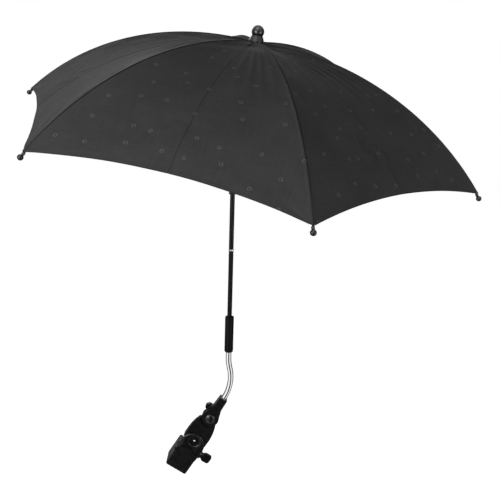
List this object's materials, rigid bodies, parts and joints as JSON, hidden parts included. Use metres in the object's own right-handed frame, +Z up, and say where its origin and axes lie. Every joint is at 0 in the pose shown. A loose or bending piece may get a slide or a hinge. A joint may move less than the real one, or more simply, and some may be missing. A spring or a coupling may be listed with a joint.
{
  "type": "pram parasol",
  "caption": "Small pram parasol: a scalloped cloth canopy on folding ribs, a tilting pole, a bent chrome stem and a screw clamp for a pram's tube.",
  "frame": {"origin": "centre of the clamped tube, half-way along the clamp's seat", "axes": "+Z up the lower pole, +X to the picture's right, -Y towards the picture's camera"},
  "size_m": [0.6722, 0.6723, 0.7123],
  "materials": {
    "black_plastic": "satin moulded",
    "rubber": "matt",
    "steel": "bright",
    "chrome": "polished",
    "painted_pole": "semi-gloss black",
    "painted_rib": "black",
    "gloss_black": "gloss",
    "felt": "felt",
    "cloth": "woven, with a small ring print"
  },
  "bodies": {
    "clamp": {"jaw": "black_plastic", "jaw_liner": "rubber", "lug_bolt": "steel", "lug_nut": "steel"},
    "pad": {"pressure_pad": "rubber"},
    "screw": {"clamp_screw": "black_plastic"},
    "arm": {"arm": "black_plastic"},
    "stem": {"socket": "black_plastic", "pivot_bolt": "black_plastic", "stem_tube": "chrome", "sleeve": "black_plastic"},
    "knob": {"wing_knob": "black_plastic"},
    "mast": {"lower_pole": "painted_pole", "pole_coupler": "steel", "middle_pole": "painted_pole", "hinge_fork": "black_plastic", "hinge_pin": "steel"},
    "head": {"hinge_tongue": "black_plastic", "upper_pole": "painted_pole", "crown": "black_plastic", "crown_wire": "steel", "cap_washer": "felt", "finial": "gloss_black", "runner_catch": "steel"},
    "runner": {"runner": "black_plastic", "runner_wire": "steel"},
    "rib_1": {"rib_1": "painted_rib", "tip_1": "gloss_black", "rivet_1": "steel", "canopy_gore_1": "cloth"},
    "stretcher_1": {"stretcher_1": "painted_rib"},
    "rib_2": {"rib_2": "painted_rib", "tip_2": "gloss_black", "rivet_2": "steel", "canopy_gore_2": "cloth"},
    "stretcher_2": {"stretcher_2": "painted_rib"},
    "rib_3": {"rib_3": "painted_rib", "tip_3": "gloss_black", "rivet_3": "steel", "canopy_gore_3": "cloth"},
    "stretcher_3": {"stretcher_3": "painted_rib"},
    "rib_4": {"rib_4": "painted_rib", "tip_4": "gloss_black", "rivet_4": "steel", "canopy_gore_4": "cloth"},
    "stretcher_4": {"stretcher_4": "painted_rib"},
    "rib_5": {"rib_5": "painted_rib", "tip_5": "gloss_black", "rivet_5": "steel", "canopy_gore_5": "cloth"},
    "stretcher_5": {"stretcher_5": "painted_rib"},
    "rib_6": {"rib_6": "painted_rib", "tip_6": "gloss_black", "rivet_6": "steel", "canopy_gore_6": "cloth"},
    "stretcher_6": {"stretcher_6": "painted_rib"}
  },
  "joints": [
    {"name": "pad_travel", "type": "slide", "parent": "clamp", "child": "pad", "axis": [0.8526, 0, -0.5225], "range_m": [0, 0.006]},
    {"name": "screw_turn", "type": "hinge", "parent": "pad", "child": "screw", "pos_m": [0.03289, 0, -0.00374], "axis": [0.8526, 0, -0.5225], "range_deg": [0, 1440]},
    {"name": "arm_swing", "type": "hinge", "parent": "clamp", "child": "arm", "pos_m": [0.02194, -0.018, 0.03581], "axis": [0, 1, 0], "range_deg": [-50, 50]},
    {"name": "socket_tilt", "type": "hinge", "parent": "arm", "child": "stem", "pos_m": [0.04702, -0.019, 0.07674], "axis": [0, 1, 0], "range_deg": [-60, 60]},
    {"name": "knob_turn", "type": "hinge", "parent": "stem", "child": "knob", "pos_m": [0.04702, -0.006, 0.07674], "axis": [0, 1, 0], "range_deg": [0, 180]},
    {"name": "mast_swivel", "type": "hinge", "parent": "stem", "child": "mast", "pos_m": [0.07434, -0.019, 0.23], "axis": [0, 0, 1], "continuous": true},
    {"name": "head_tilt", "type": "hinge", "parent": "mast", "child": "head", "pos_m": [0.07434, -0.019, 0.4615], "axis": [0.7071, 0.7071, 0], "range_deg": [-11.2, 48.8]},
    {"name": "runner_slide", "type": "slide", "parent": "head", "child": "runner", "axis": [-0.1373, 0.1373, -0.981], "range_m": [0, 0.11744], "deforming": ["canopy_gore_1", "canopy_gore_2", "canopy_gore_3", "canopy_gore_4", "canopy_gore_5", "canopy_gore_6", "runner_catch"]},
    {"name": "rib_1_fold", "type": "hinge", "parent": "head", "child": "rib_1", "pos_m": [0.09734, -0.0519, 0.66113], "axis": [0.6936, -0.6936, -0.1942], "range_deg": [0, 65.01]},
    {"name": "rib_2_fold", "type": "hinge", "parent": "head", "child": "rib_2", "pos_m": [0.10402, -0.05363, 0.65995], "axis": [0.9592, 0.2656, -0.0971], "range_deg": [0, 65.01]},
    {"name": "rib_3_fold", "type": "hinge", "parent": "head", "child": "rib_3", "pos_m": [0.10897, -0.04868, 0.65995], "axis": [0.2656, 0.9592, 0.0971], "range_deg": [0, 65.01]},
    {"name": "rib_4_fold", "type": "hinge", "parent": "head", "child": "rib_4", "pos_m": [0.10724, -0.042, 0.66113], "axis": [-0.6936, 0.6936, 0.1942], "range_deg": [0, 65.01]},
    {"name": "rib_5_fold", "type": "hinge", "parent": "head", "child": "rib_5", "pos_m": [0.10056, -0.04027, 0.66231], "axis": [-0.9592, -0.2656, 0.0971], "range_deg": [0, 65.01]},
    {"name": "rib_6_fold", "type": "hinge", "parent": "head", "child": "rib_6", "pos_m": [0.09561, -0.04522, 0.66231], "axis": [-0.2656, -0.9592, -0.0971], "range_deg": [0, 65.01]},
    {"name": "stretcher_1_fold", "type": "hinge", "parent": "rib_1", "child": "stretcher_1", "pos_m": [0.03696, -0.11088, 0.65612], "axis": [-0.6936, 0.6936, 0.1942], "range_deg": [0, 107.67]},
    {"name": "stretcher_2_fold", "type": "hinge", "parent": "rib_2", "child": "stretcher_2", "pos_m": [0.12418, -0.13347, 0.64075], "axis": [-0.9592, -0.2656, 0.0971], "range_deg": [0, 107.67]},
    {"name": "stretcher_3_fold", "type": "hinge", "parent": "rib_3", "child": "stretcher_3", "pos_m": [0.18881, -0.06884, 0.64075], "axis": [-0.2656, -0.9592, -0.0971], "range_deg": [0, 107.67]},
    {"name": "stretcher_4_fold", "type": "hinge", "parent": "rib_4", "child": "stretcher_4", "pos_m": [0.16622, 0.01838, 0.65612], "axis": [0.6936, -0.6936, -0.1942], "range_deg": [0, 107.67]},
    {"name": "stretcher_5_fold", "type": "hinge", "parent": "rib_5", "child": "stretcher_5", "pos_m": [0.079, 0.04097, 0.6715], "axis": [0.9592, 0.2656, -0.0971], "range_deg": [0, 107.67]},
    {"name": "stretcher_6_fold", "type": "hinge", "parent": "rib_6", "child": "stretcher_6", "pos_m": [0.01437, -0.02366, 0.6715], "axis": [0.2656, 0.9592, 0.0971], "range_deg": [0, 107.67]}
  ],
  "couplings": [
    {"joint": "screw_turn", "follows": "pad_travel", "rad_per_m": 4188.8},
    {"joint": "rib_1_fold", "follows": "runner_slide", "rad_per_m": 9.6596},
    {"joint": "rib_2_fold", "follows": "runner_slide", "rad_per_m": 9.6596},
    {"joint": "rib_3_fold", "follows": "runner_slide", "rad_per_m": 9.6596},
    {"joint": "rib_4_fold", "follows": "runner_slide", "rad_per_m": 9.6596},
    {"joint": "rib_5_fold", "follows": "runner_slide", "rad_per_m": 9.6596},
    {"joint": "rib_6_fold", "follows": "runner_slide", "rad_per_m": 9.6596},
    {"joint": "stretcher_1_fold", "follows": "runner_slide", "rad_per_m": 15.998},
    {"joint": "stretcher_2_fold", "follows": "runner_slide", "rad_per_m": 15.998},
    {"joint": "stretcher_3_fold", "follows": "runner_slide", "rad_per_m": 15.998},
    {"joint": "stretcher_4_fold", "follows": "runner_slide", "rad_per_m": 15.998},
    {"joint": "stretcher_5_fold", "follows": "runner_slide", "rad_per_m": 15.998},
    {"joint": "stretcher_6_fold", "follows": "runner_slide", "rad_per_m": 15.998}
  ]
}
